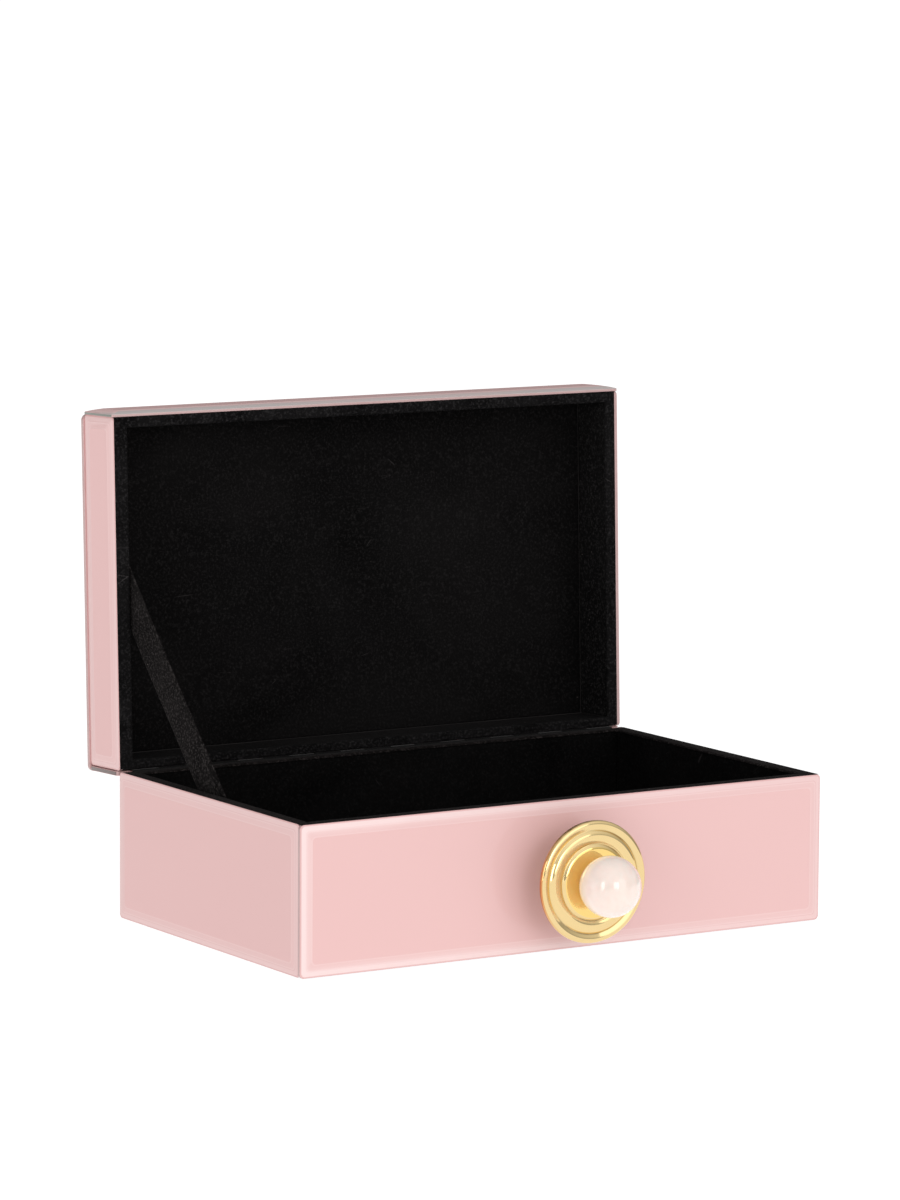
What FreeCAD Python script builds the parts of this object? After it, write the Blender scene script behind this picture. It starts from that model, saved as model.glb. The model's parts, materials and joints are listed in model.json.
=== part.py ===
import FreeCAD, Part
import os
import re
import Sketcher

# A hinged jewelry box: bevelled, back-painted glass over thin boards, lined with velvet, with a stone-and-brass
# pull on the front.  Millimetres.  +Z is up, +X runs along the box and the front faces -Y.  The origin is the
# middle of the underside.  The lid is drawn shut and then swung open about the hinge pin.

SIZES = {
    "box_width": 300,
    "box_depth": 180,
    "base_height": 74,
    "rim_gap": 0.5,
    "lid_height": 33.5,
    "lid_overhang": 2.5,
    "open_angle": 92,
    "glass": 3,
    "bevel_width": 6.5,
    "bevel_depth": 0.8,
    "glass_lift": 0.5,
    "board": 4,
    "floor_board": 3,
    "lid_board": 4,
    "felt": 1,
    "felt_inset": 4,
    "lining": 1.5,
    "floor_pad": 3.5,
    "rim_velvet": 1,
    "pin_inset": 2,
    "pin_drop": 1,
    "pin_radius": 0.75,
    "lid_bore_radius": 0.8,
    "knuckle_radius": 1.5,
    "knuckle_pitch": 15,
    "knuckle_gap": 0.2,
    "leaf": 0.8,
    "leaf_width": 13,
    "leaf_gap": 0.4,
    "notch_gap": 0.3,
    "back_glass_drop": 2.8,
    "lid_back_glass_rise": 1.8,
    "lid_side_gap": 0.4,
    "velvet_setback": 1.1,
    "screw_radius": 1,
    "screw_head_radius": 1.9,
    "screw_length": 3.8,
    "screw_pitch": 60,
    "knob_height": 37,
    "face_standoff": 24.6,
    "disc_radius": 30,
    "disc_thickness": 2.8,
    "middle_tier_radius": 25.3,
    "inner_tier_radius": 18.7,
    "tier_step": 0.7,
    "tier_round": 0.5,
    "boss_radius": 13,
    "boss_length": 3,
    "ball_radius": 15,
    "ball_standoff": 37,
    "stem_radius": 6,
    "stem_foot_radius": 10,
    "stem_foot": 2,
    "stem_neck_radius": 8,
    "stud_radius": 2,
    "stud_depth": 8,
    "pocket_radius": 7.5,
    "pocket_depth": 3.3,
    "washer_radius": 6,
    "washer": 0.8,
    "nut_flats": 7,
    "nut": 2.4,
    "stay_width": 20,
    "stay_thickness": 1.2,
    "stay_clearance": 0.6,
    "stay_base_depth": 22,
    "stay_base_forward": 7.6,
    "stay_lid_rise": 97.3,
    "stay_lid_back": 16,
}
KNUCKLES = 19
LEAF_SCREWS = 5

doc = FreeCAD.newDocument("JewelryBox")
sheet = doc.addObject("Spreadsheet::Sheet", "Sizes")
for row, (alias, value) in enumerate(SIZES.items(), 1):
    sheet.set(f"A{row}", alias)
    sheet.set(f"B{row}", str(value))
    sheet.setAlias(f"B{row}", alias)
doc.recompute()

nodes = []

# Places that several pieces share, as expressions on the driving sizes.
HALF_DEPTH = "box_depth / 2"
PIN_Y = "(box_depth / 2 - pin_inset)"
PIN_Z = "(base_height - pin_drop)"
LID_RIM = "(base_height + rim_gap)"
LID_TOP = "(base_height + rim_gap + lid_height)"
BOARD_X = "(box_width / 2 - glass)"
BOARD_Y = "(box_depth / 2 - glass)"
INNER_X = "(box_width / 2 - glass - board)"
INNER_Y = "(box_depth / 2 - glass - board)"
TRAY_X = "(box_width / 2 - glass - board - lining)"
TRAY_Y = "(box_depth / 2 - glass - board - lining)"
LEAF_Y = "(box_depth / 2 - glass - leaf)"
VELVET_Y = "(box_depth / 2 - glass - velvet_setback)"


def sized(expression):
    """Point every driving size named in the expression at its cell."""
    return re.sub(r"[a-z]\w*", lambda word: ("Sizes." if word[0] in SIZES else "") + word[0], str(expression))


def bind(item, **expressions):
    for name, expression in expressions.items():
        item.setExpression(name, sized(expression))
    return item


def place(item, x=0, y=0, z=0, axis=(0, 0, 1), turn=0, on_lid=False):
    """Put an item in the box's frame.  A piece of the lid is placed as if shut, then swung about the pin."""
    spin = "rotation(vector({}; {}; {}); {})".format(*axis, turn)
    if on_lid:
        swing = f"placement(vector(0; {PIN_Y}; {PIN_Z}); rotation(vector(1; 0; 0); -open_angle))"
        rest = f"placement(vector({x}; {y} - {PIN_Y}; {z} - {PIN_Z}); {spin})"
        item.setExpression("Placement", sized(f"{swing} * {rest}"))
    else:
        item.setExpression("Placement", sized(f"placement(vector({x}; {y}; {z}); {spin})"))
    return item


def node(item, name):
    item.Label = name
    nodes.append(item)
    return item


def block(low, high, on_lid=False):
    """A box between two corners, each given as three expressions."""
    item = doc.addObject("Part::Box", "Block")
    length, width, height = [f"({b}) - ({a})" for a, b in zip(low, high)]
    bind(item, Length=length, Width=width, Height=height)
    return place(item, *low, on_lid=on_lid)


def rod(radius, length, x=0, y=0, z=0, axis=(0, 0, 1), turn=0, on_lid=False):
    """A cylinder from a point, along +Z unless it is turned about an axis."""
    item = bind(doc.addObject("Part::Cylinder", "Rod"), Radius=radius, Height=length)
    return place(item, x, y, z, axis, turn, on_lid)


def along_x(radius, length, x, y, z, on_lid=False):
    return rod(radius, length, x, y, z, (0, 1, 0), 90, on_lid)


def along_front(radius, length, y):
    """A cylinder on the pull's axis, from y towards the front."""
    return rod(radius, length, 0, y, "knob_height", (1, 0, 0), 90)


def fused(items, name="Fused"):
    item = doc.addObject("Part::MultiFuse", name)
    item.Shapes = items
    item.Refine = True
    return item


def cut(base, tools, name="Cut"):
    item = doc.addObject("Part::Cut", name)
    item.Base = base
    item.Tool = tools[0] if len(tools) == 1 else fused(tools, "Tools")
    return item


def bevelled(width, height, x, y, z, axis=(0, 0, 1), turn=0, on_lid=False):
    """A glass plate with its outward face towards its own +Y, and a shallow bevel round that face."""
    thin = "glass - bevel_depth"
    plate = bind(doc.addObject("Part::Box", "Plate"), Length=width, Width=thin, Height=height)
    place(plate, f"-({width}) / 2")
    face = doc.addObject("Part::Wedge", "Face")
    bind(face, Xmin=f"-({width}) / 2", Xmax=f"({width}) / 2", Zmax=height, Ymin=thin, Ymax="glass",
         X2min=f"bevel_width - ({width}) / 2", X2max=f"({width}) / 2 - bevel_width",
         Z2max=f"({height}) - bevel_width", Z2min="bevel_width")
    face.Zmin = 0
    return place(fused([plate, face], "Glass"), x, y, z, axis, turn, on_lid)


def value_of(expression):
    """The present value of an expression on the driving sizes, worked out in a spare cell."""
    sheet.set("D1", f"={expression}")
    sheet.recompute()
    return float(sheet.get("D1"))


def turned(name, corners, round_radius=None, round_corners=()):
    """A body turned about its own Y: its outline's corners are pairs of radius and distance along the axis."""
    body = doc.addObject("PartDesign::Body", name)
    plane = next(feature for feature in body.Origin.OriginFeatures if feature.Role == "XY_Plane")
    sketch = body.newObject("Sketcher::SketchObject", f"{name}_outline")
    sketch.AttachmentSupport = [(plane, "")]
    sketch.MapMode = "FlatFace"
    points = [FreeCAD.Vector(value_of(radius), value_of(along), 0) for radius, along in corners]
    for point, following in zip(points, points[1:] + points[:1]):
        sketch.addGeometry(Part.LineSegment(point, following))
    for line in range(len(points)):
        sketch.addConstraint(Sketcher.Constraint("Coincident", line, 2, (line + 1) % len(points), 1))
    for line, (point, corner) in enumerate(zip(points, corners)):
        for kind, value, expression in zip(("DistanceX", "DistanceY"), point, corner):
            constraint = sketch.addConstraint(Sketcher.Constraint(kind, -1, 1, line, 1, value))
            sketch.setExpression(f"Constraints[{constraint}]", sized(expression))
    revolution = body.newObject("PartDesign::Revolution", f"{name}_revolution")
    revolution.Profile = sketch
    revolution.ReferenceAxis = (sketch, ["V_Axis"])
    revolution.Angle = 360
    doc.recompute()
    if round_radius:
        edges = []
        for number, edge in enumerate(revolution.Shape.Edges, 1):
            if isinstance(edge.Curve, Part.Circle):
                here = (edge.Curve.Radius, edge.Curve.Center.y)
                if any(abs(here[0] - points[c].x) + abs(here[1] - points[c].y) < 1e-6 for c in round_corners):
                    edges.append(f"Edge{number}")
        fillet = body.newObject("PartDesign::Fillet", f"{name}_rounding")
        fillet.Base = (revolution, edges)
        bind(fillet, Radius=round_radius)
        body.Tip = fillet
        doc.recompute()
    return body


def four_walls(name, outer_x, outer_y, thickness, low, high, on_lid=False):
    """Front, back, left and right walls of a rectangular case; the front and back ones run full width.

    The lid's case reaches a little further forward than the base's.
    """
    inner_x = f"({outer_x} - {thickness})"
    inner_y = f"({outer_y} - {thickness})"
    reach = "lid_overhang" if on_lid else "0"
    walls = {
        "front": ((f"-{outer_x}", f"-{outer_y} - {reach}", low), (outer_x, f"-{inner_y} - {reach}", high)),
        "back": ((f"-{outer_x}", inner_y, low), (outer_x, outer_y, high)),
        "left": ((f"-{outer_x}", f"-{inner_y} - {reach}", low), (f"-{inner_x}", inner_y, high)),
        "right": ((inner_x, f"-{inner_y} - {reach}", low), (outer_x, inner_y, high)),
    }
    return {side: block(*corners, on_lid=on_lid) for side, corners in walls.items()}


def screw_row(height, on_lid=False):
    """Countersunk screws through a hinge leaf into the board in front of it."""
    screws = []
    for place_in_row in range(LEAF_SCREWS):
        x = f"{place_in_row - (LEAF_SCREWS - 1) / 2} * screw_pitch"
        head = bind(doc.addObject("Part::Cone", "Head"), Radius1="screw_head_radius",
                    Radius2="screw_radius", Height="leaf")
        place(head, x, BOARD_Y, height, (1, 0, 0), 90, on_lid)
        shank = rod("screw_radius", "screw_length", x, BOARD_Y, height, (1, 0, 0), 90, on_lid)
        screws.append(fused([head, shank], "Screw"))
    return fused(screws, "Screws")


def hinge_leaf(own_first, bore, low, high, screws, on_lid=False):
    """Half of the piano hinge: a plate, every second knuckle, and room for the other half's knuckles."""
    start = -KNUCKLES / 2
    plate = block((f"{start} * knuckle_pitch", LEAF_Y, low), (f"{-start} * knuckle_pitch", BOARD_Y, high), on_lid)
    own = []
    other = []
    for number in range(KNUCKLES):
        cell = f"{start + number} * knuckle_pitch"
        if number % 2 == own_first:
            own.append(along_x("knuckle_radius", "knuckle_pitch - knuckle_gap",
                               f"{cell} + knuckle_gap / 2", PIN_Y, PIN_Z, on_lid))
        else:
            other.append(along_x("knuckle_radius + notch_gap", "knuckle_pitch", cell, PIN_Y, PIN_Z, on_lid))
    pin_hole = along_x(bore, f"{KNUCKLES} * knuckle_pitch", f"{start} * knuckle_pitch", PIN_Y, PIN_Z, on_lid)
    notched = cut(plate, other)
    return cut(fused([notched] + own, "Leaf"), [pin_hole, screws])


# --- Base: boards ---------------------------------------------------------------------------------------------
BOARD_LOW = "felt"
BOARD_HIGH = "(base_height - rim_velvet)"
BASE_SCREW_Z = f"({PIN_Z} - leaf_gap - leaf_width / 2)"
base_screws = screw_row(BASE_SCREW_Z)
boards = four_walls("board", BOARD_X, BOARD_Y, "board", BOARD_LOW, BOARD_HIGH)
stud_hole = along_front("stud_radius + 0.2", "box_depth / 2", "-box_depth / 4")
pocket = along_front("pocket_radius", "pocket_depth", f"-{INNER_Y}")
rebate = block((f"-{BOARD_X}", LEAF_Y, f"{PIN_Z} - leaf_gap - leaf_width"), (BOARD_X, BOARD_Y, "base_height"))
node(cut(boards["front"], [stud_hole, pocket]), "base_board_front")
node(cut(boards["back"], [rebate, base_screws]), "base_board_back")
node(boards["left"], "base_board_left")
node(boards["right"], "base_board_right")
node(block((f"-{INNER_X}", f"-{INNER_Y}", "felt"), (INNER_X, INNER_Y, "felt + floor_board")), "base_floor_board")
node(block(("felt_inset - box_width / 2", "felt_inset - box_depth / 2", 0),
           ("box_width / 2 - felt_inset", "box_depth / 2 - felt_inset", "felt")), "base_felt")

# --- Base: glass ----------------------------------------------------------------------------------------------
SIDE_LENGTH = "(box_depth - glass)"
glass_height = "(base_height - glass_lift)"
front_glass = bevelled("box_width", glass_height, 0, f"glass - {HALF_DEPTH}", "glass_lift", turn=180)
node(cut(front_glass, [stud_hole]), "base_glass_front")
node(bevelled(f"2 * {BOARD_X}", f"{glass_height} - back_glass_drop", 0, BOARD_Y, "glass_lift"), "base_glass_back")
node(bevelled(SIDE_LENGTH, glass_height, f"-{BOARD_X}", "glass / 2", "glass_lift", turn=90), "base_glass_left")
node(bevelled(SIDE_LENGTH, glass_height, BOARD_X, "glass / 2", "glass_lift", turn=-90), "base_glass_right")

# --- Base: lining ---------------------------------------------------------------------------------------------
for side, wall in four_walls("lining", INNER_X, INNER_Y, "lining", "felt + floor_board", BOARD_HIGH).items():
    node(wall, f"base_lining_{side}")
node(block((f"-{TRAY_X}", f"-{TRAY_Y}", "felt + floor_board"),
           (TRAY_X, TRAY_Y, "felt + floor_board + floor_pad")), "base_floor_pad")
rim = block((f"-{BOARD_X}", f"-{BOARD_Y}", BOARD_HIGH), (BOARD_X, VELVET_Y, "base_height"))
rim_hole = block((f"-{TRAY_X}", f"-{TRAY_Y}", BOARD_HIGH), (TRAY_X, TRAY_Y, "base_height"))
node(cut(rim, [rim_hole]), "base_rim_velvet")

# --- Lid: boards, glass and lining ----------------------------------------------------------------------------
LID_BOARD_LOW = f"({LID_RIM} + rim_velvet)"
LID_GLASS_HIGH = f"({LID_TOP} - glass)"
LID_BOARD_UNDER = f"({LID_TOP} - glass - lid_board)"
LID_LINING_UNDER = f"({LID_TOP} - glass - lid_board - lining)"
lid_glass_height = "(lid_height - glass)"
lid_screws = screw_row(f"({PIN_Z} + leaf_gap + leaf_width / 2)", on_lid=True)
lid_boards = four_walls("board", BOARD_X, BOARD_Y, "board", LID_BOARD_LOW, LID_GLASS_HIGH, on_lid=True)
lid_rebate = block((f"-{BOARD_X}", LEAF_Y, LID_RIM), (BOARD_X, BOARD_Y, f"{PIN_Z} + leaf_gap + leaf_width"), True)
node(lid_boards["front"], "lid_board_front")
node(cut(lid_boards["back"], [lid_rebate, lid_screws]), "lid_board_back")
node(lid_boards["left"], "lid_board_left")
node(lid_boards["right"], "lid_board_right")
node(block((f"-{INNER_X}", f"-{INNER_Y} - lid_overhang", LID_BOARD_UNDER), (INNER_X, INNER_Y, LID_GLASS_HIGH), True),
     "lid_board_top")

LID_SIDE_LENGTH = "(box_depth + lid_overhang - 2 * glass - lid_side_gap)"
LID_SIDE_Y = "-(lid_side_gap + lid_overhang) / 2"
LID_TOP_LENGTH = "(box_depth + lid_overhang - glass)"
node(bevelled("box_width", lid_glass_height, 0, f"glass - {HALF_DEPTH} - lid_overhang", LID_RIM, turn=180,
              on_lid=True), "lid_glass_front")
node(bevelled("box_width", f"{lid_glass_height} - lid_back_glass_rise", 0, BOARD_Y,
              f"{LID_RIM} + lid_back_glass_rise", on_lid=True), "lid_glass_back")
for side, x, turn in (("left", f"-{BOARD_X}", 90), ("right", BOARD_X, -90)):
    node(bevelled(LID_SIDE_LENGTH, lid_glass_height, x, LID_SIDE_Y, LID_RIM, turn=turn, on_lid=True),
         f"lid_glass_{side}")
node(bevelled("box_width", LID_TOP_LENGTH, 0, HALF_DEPTH, LID_GLASS_HIGH, (1, 0, 0), 90, True), "lid_glass_top")

for side, wall in four_walls("lining", INNER_X, INNER_Y, "lining", LID_BOARD_LOW, LID_BOARD_UNDER, True).items():
    node(wall, f"lid_lining_{side}")
node(block((f"-{TRAY_X}", f"-{TRAY_Y} - lid_overhang", LID_LINING_UNDER), (TRAY_X, TRAY_Y, LID_BOARD_UNDER), True),
     "lid_lining_top")
lid_rim = block((f"-{BOARD_X}", f"-{BOARD_Y} - lid_overhang", LID_RIM), (BOARD_X, VELVET_Y, LID_BOARD_LOW), True)
lid_rim_hole = block((f"-{TRAY_X}", f"-{TRAY_Y} - lid_overhang", LID_RIM), (TRAY_X, TRAY_Y, LID_BOARD_LOW), True)
node(cut(lid_rim, [lid_rim_hole]), "lid_rim_velvet")

# --- Hinge ----------------------------------------------------------------------------------------------------
node(hinge_leaf(0, "pin_radius", f"{PIN_Z} - leaf_gap - leaf_width", f"{PIN_Z} - leaf_gap", base_screws),
     "hinge_leaf_base")
node(hinge_leaf(1, "lid_bore_radius", f"{PIN_Z} + leaf_gap", f"{PIN_Z} + leaf_gap + leaf_width", lid_screws, True),
     "hinge_leaf_lid")
node(along_x("pin_radius", f"{KNUCKLES} * knuckle_pitch", f"{-KNUCKLES / 2} * knuckle_pitch", PIN_Y, PIN_Z),
     "hinge_pin")
node(base_screws, "hinge_screws_base")
node(lid_screws, "hinge_screws_lid")

# --- Pull -----------------------------------------------------------------------------------------------------
OUTER_FACE = "face_standoff - 2 * tier_step"
DISC_BACK = f"{OUTER_FACE} - disc_thickness"
BOSS_BACK = f"{DISC_BACK} - boss_length"
disc = turned("disc", [
    ("stud_radius", BOSS_BACK), ("boss_radius", BOSS_BACK), ("boss_radius", DISC_BACK),
    ("disc_radius", DISC_BACK), ("disc_radius", OUTER_FACE), ("middle_tier_radius", OUTER_FACE),
    ("middle_tier_radius", f"{OUTER_FACE} + tier_step"), ("inner_tier_radius", f"{OUTER_FACE} + tier_step"),
    ("inner_tier_radius", "face_standoff"), ("stud_radius", "face_standoff"),
], "tier_round", (3, 4, 6, 8))
stem = turned("stem", [
    ("stud_radius", "0"), ("stem_foot_radius", "0"), ("stem_foot_radius", "stem_foot"),
    ("stem_radius", "stem_foot + stem_foot_radius - stem_radius"), ("stem_radius", f"{BOSS_BACK} - stem_radius"),
    ("stem_neck_radius", BOSS_BACK), ("stud_radius", BOSS_BACK),
])
for body in (disc, stem):
    place(body, 0, f"-{HALF_DEPTH}", "knob_height", turn=180)
ball = bind(doc.addObject("Part::Sphere", "Ball"), Radius="ball_radius")
place(ball, 0, f"-{HALF_DEPTH} - ball_standoff", "knob_height")
STUD_BACK = "glass + board - pocket_depth + washer + nut"
stud = along_front("stud_radius", f"{STUD_BACK} + ball_standoff - ball_radius + stud_depth",
                   f"{STUD_BACK} - {HALF_DEPTH}")
node(cut(disc, [ball]), "knob_disc")
node(stem, "knob_stem")
node(cut(ball, [stud]), "knob_ball")
node(stud, "knob_stud")

washer_back = f"glass + board - pocket_depth + washer - {HALF_DEPTH}"
washer = along_front("washer_radius", "washer", washer_back)
node(cut(washer, [stud_hole]), "knob_washer")
nut = bind(doc.addObject("Part::Prism", "Nut"), Circumradius="nut_flats / sqrt(3)", Height="nut")
nut.Polygon = 6
place(nut, 0, f"{STUD_BACK} - {HALF_DEPTH}", "knob_height", (1, 0, 0), 90)
node(cut(nut, [stud]), "knob_nut")

# --- Ribbon stay ----------------------------------------------------------------------------------------------
STAY_RUN = f"(stay_lid_back + {HALF_DEPTH} + stay_base_forward)"
STAY_RISE = "(stay_lid_rise + stay_base_depth)"
STAY_LENGTH = f"sqrt({STAY_RUN} ^ 2 + {STAY_RISE} ^ 2)"
stay = doc.addObject("Part::Box", "Stay")
bind(stay, Length="stay_thickness", Width=STAY_LENGTH, Height="stay_width")
place(stay, f"stay_clearance - {TRAY_X}", f"stay_width / 2 * {STAY_RISE} / {STAY_LENGTH} - stay_base_forward",
      f"base_height - stay_base_depth - stay_width / 2 * {STAY_RUN} / {STAY_LENGTH}",
      (1, 0, 0), f"atan2({STAY_RISE}; {STAY_RUN})")
node(stay, "stay_ribbon")

# --- Check and write ------------------------------------------------------------------------------------------
doc.recompute()
for item in doc.Objects:
    if {"Invalid", "Error"} & set(item.State):
        raise RuntimeError(f"{item.Name} ({item.Label}) failed: {item.State}")
os.makedirs("parts", exist_ok=True)
for item in nodes:
    if item.Shape.isNull() or not item.Shape.isValid():
        raise RuntimeError(f"{item.Label} has no valid shape")
    item.Shape.exportStep(f"parts/{item.Label}.step")
    print(f"{item.Label:22s} {item.Shape.Volume:12.1f} mm3  {len(item.Shape.Solids)} solid(s)")
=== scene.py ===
import json
import math

import bmesh
import bpy
from mathutils import Matrix, Vector, noise


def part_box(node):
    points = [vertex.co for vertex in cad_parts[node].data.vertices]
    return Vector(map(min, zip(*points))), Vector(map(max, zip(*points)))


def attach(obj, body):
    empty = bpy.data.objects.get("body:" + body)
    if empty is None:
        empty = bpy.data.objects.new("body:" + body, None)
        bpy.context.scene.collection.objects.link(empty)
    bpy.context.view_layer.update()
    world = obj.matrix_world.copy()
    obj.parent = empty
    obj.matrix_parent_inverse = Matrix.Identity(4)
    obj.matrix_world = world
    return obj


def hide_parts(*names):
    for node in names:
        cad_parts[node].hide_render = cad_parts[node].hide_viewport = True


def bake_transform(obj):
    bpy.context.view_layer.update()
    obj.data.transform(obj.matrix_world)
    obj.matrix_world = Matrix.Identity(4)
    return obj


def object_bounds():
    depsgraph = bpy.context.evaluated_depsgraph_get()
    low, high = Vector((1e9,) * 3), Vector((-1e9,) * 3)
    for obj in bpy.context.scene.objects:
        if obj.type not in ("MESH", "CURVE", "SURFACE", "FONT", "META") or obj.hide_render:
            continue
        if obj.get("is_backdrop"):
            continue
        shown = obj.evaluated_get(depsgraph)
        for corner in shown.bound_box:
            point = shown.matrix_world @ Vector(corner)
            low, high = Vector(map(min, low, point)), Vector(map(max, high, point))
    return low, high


# A jewelry box in bevelled pink glass with a velvet inside.  Metres.  The pieces below take their places
# and sizes from the frame.  The lid's pieces are drawn shut and swung open about the hinge.

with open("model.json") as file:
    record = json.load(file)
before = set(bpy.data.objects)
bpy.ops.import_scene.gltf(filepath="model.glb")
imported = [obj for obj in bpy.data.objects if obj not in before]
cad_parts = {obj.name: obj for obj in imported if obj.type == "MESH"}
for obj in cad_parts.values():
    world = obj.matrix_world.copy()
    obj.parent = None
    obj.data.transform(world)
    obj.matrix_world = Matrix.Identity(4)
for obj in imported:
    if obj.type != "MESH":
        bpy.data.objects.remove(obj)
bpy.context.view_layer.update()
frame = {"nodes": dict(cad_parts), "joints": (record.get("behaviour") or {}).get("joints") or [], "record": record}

MM = 0.001
GLASS = 3.0 * MM
CORNER = 2.2 * MM           # radius of a glass panel's corners
ARRIS = 0.22 * MM           # its edges are ground off by this much
BEVEL_WIDTH = 6.5 * MM
BEVEL_DEPTH = 0.8 * MM
BEVEL_RIDGE = (0.47, 0.54)  # the bevel bends at this part of its width and height, and shines in two bands
BEVEL_RIDGE_CORNER = 1.8 * MM
SIDE_LIP = 2.1 * MM         # how far the rim's velvet is turned out over the glass's edge
HINGE = frame["joints"][0]
PIN = Vector(HINGE["pos_m"])
OPEN = math.radians(HINGE["range_deg"][1])
SWING = Matrix.Translation(PIN) @ Matrix.Rotation(-OPEN, 4, "X") @ Matrix.Translation(-PIN)
SHUT = SWING.inverted()
STILL = Matrix.Identity(4)


def shut_box(node):
    """The corners of one of the lid's nodes with the lid shut."""
    corners = [SHUT @ vertex.co for vertex in frame["nodes"][node].data.vertices]
    low = Vector([min(corner[axis] for corner in corners) for axis in range(3)])
    high = Vector([max(corner[axis] for corner in corners) for axis in range(3)])
    return low, high


# --- Materials ------------------------------------------------------------------------------------
class Finish:
    """A material under construction: a Principled shader and a few short ways to feed it."""

    def __init__(self, name):
        self.material = bpy.data.materials.new(name)
        self.material.use_nodes = True
        self.tree = self.material.node_tree
        self.shader = self.tree.nodes["Principled BSDF"]
        self.coordinates = self.tree.nodes.new("ShaderNodeTexCoord").outputs["Object"]

    def add(self, kind, inputs=None, **settings):
        item = self.tree.nodes.new(kind)
        for name, value in settings.items():
            setattr(item, name, value)
        for name, value in (inputs or {}).items():
            self.feed(item.inputs[name], value)
        return item

    def feed(self, socket, value):
        if isinstance(value, bpy.types.NodeSocket):
            self.tree.links.new(value, socket)
        else:
            socket.default_value = value

    def set(self, **values):
        for name, value in values.items():
            self.feed(self.shader.inputs[name.replace("_", " ")], value)
        return self

    def stretched(self, scale):
        return self.add("ShaderNodeMapping", {"Vector": self.coordinates, "Scale": scale}).outputs["Vector"]

    def noise(self, scale, detail=3.0, roughness=0.5, distortion=0.0, vector=None):
        return self.add("ShaderNodeTexNoise", {
            "Vector": vector or self.coordinates, "Scale": scale, "Detail": detail,
            "Roughness": roughness, "Distortion": distortion}).outputs["Fac"]

    def cells(self, scale, vector=None, feature="F1"):
        return self.add("ShaderNodeTexVoronoi", {"Vector": vector or self.coordinates, "Scale": scale},
                        feature=feature).outputs["Distance"]

    def attribute(self, name):
        return self.add("ShaderNodeAttribute", attribute_name=name).outputs["Fac"]

    def ramp(self, factor, *stops):
        item = self.add("ShaderNodeValToRGB", {"Fac": factor})
        elements = item.color_ramp.elements
        while len(elements) < len(stops):
            elements.new(0.5)
        for element, (position, value) in zip(elements, stops):
            element.position = position
            element.color = (*value, 1.0) if hasattr(value, "__len__") else (value, value, value, 1.0)
        return item.outputs["Color"]

    def mix(self, factor, first, second):
        item = self.add("ShaderNodeMix", data_type="RGBA")
        for index, value in ((0, factor), (6, first), (7, second)):
            if hasattr(value, "__len__") and not isinstance(value, bpy.types.NodeSocket):
                value = (*value, 1.0)
            self.feed(item.inputs[index], value)
        return item.outputs[2]

    def maths(self, operation, first, second=0.0, clamp=False):
        item = self.add("ShaderNodeMath", operation=operation, use_clamp=clamp)
        self.feed(item.inputs[0], first)
        self.feed(item.inputs[1], second)
        return item.outputs[0]

    def bump(self, height, distance, strength):
        inputs = {"Height": height, "Distance": distance, "Strength": strength}
        return self.add("ShaderNodeBump", inputs).outputs["Normal"]


def painted_glass():
    """Pink paint seen through clear glass; the bevel round each panel is painted lighter, in two bands of painted
    highlight.

    The mesh gives the distance in from the panel's edge, where the bevel carries a painted highlight, and where it
    is greyer.
    """
    finish = Finish("pink_painted_glass")
    drift = finish.noise(7.0, detail=2.0)
    paint = finish.mix(drift, (0.748, 0.474, 0.462), (0.774, 0.500, 0.488))
    in_from_edge = finish.maths("DIVIDE", finish.attribute("in_from_edge"), BEVEL_WIDTH)
    # The bevel's ramp paints its two lighter bands: painted highlights for the light the bevel catches.
    bevel = finish.ramp(in_from_edge, (0.0, (0.69, 0.42, 0.41)), (0.09, (0.72, 0.455, 0.445)),
                        (0.15, (0.795, 0.560, 0.548)), (0.42, (0.790, 0.552, 0.540)),
                        (0.465, (0.730, 0.470, 0.458)), (0.52, (0.812, 0.580, 0.568)),
                        (0.60, (0.772, 0.520, 0.507)), (0.86, (0.770, 0.512, 0.500)),
                        (0.96, (0.800, 0.560, 0.547)))
    # A painted highlight on the bevel, where the mesh marks it.
    pale = finish.ramp(in_from_edge, (0.08, 0.0), (0.16, 1.0), (0.44, 0.9), (0.54, 0.35), (0.95, 0.2))
    pale = finish.maths("MULTIPLY", pale, finish.attribute("pale"))
    bevel = finish.mix(pale, bevel, (0.850, 0.665, 0.652))
    patchy = finish.noise(26.0, detail=2.0, vector=finish.stretched((0.3, 1.0, 1.0)))
    streak = finish.ramp(patchy, (0.3, 0.35), (0.6, 1.0))
    grey = finish.maths("MULTIPLY", finish.attribute("grey"), streak)
    bevel = finish.mix(grey, bevel, (0.52, 0.475, 0.465))
    on_face = finish.ramp(in_from_edge, (0.95, 0.0), (1.0, 1.0))
    colour = finish.mix(on_face, bevel, paint)
    dust = finish.ramp(finish.cells(55.0), (0.0, 1.0), (0.012, 0.0))
    chosen = finish.ramp(finish.noise(31.0, detail=1.0), (0.56, 0.0), (0.62, 0.25))
    colour = finish.mix(finish.maths("MULTIPLY", dust, chosen), colour, (0.80, 0.74, 0.72))
    smear = finish.ramp(finish.noise(14.0, detail=5.0, distortion=0.8), (0.35, 0.55), (0.70, 0.60))
    ripple = finish.noise(6.0, detail=1.0)
    finish.set(Base_Color=colour, Roughness=smear, Normal=finish.bump(ripple, 0.0004, 0.05))
    finish.set(Coat_Weight=0.45, Coat_Roughness=0.015, Coat_IOR=1.52, Specular_IOR_Level=0.05)
    return finish.material


def glass_edge(name, light, dark):
    """The ground edge of a glass panel, where its own tint gathers."""
    finish = Finish(name)
    streak = finish.noise(420.0, detail=4.0, vector=finish.stretched((0.12, 0.12, 1.0)))
    patch = finish.noise(60.0, detail=2.0)
    mixed = finish.maths("MULTIPLY", finish.maths("ADD", streak, patch), 0.5)
    finish.set(Base_Color=finish.mix(mixed, light, dark), Roughness=0.32)
    finish.set(Normal=finish.bump(streak, 0.0002, 0.4), Coat_Weight=0.6, Coat_Roughness=0.12)
    return finish.material


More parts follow.
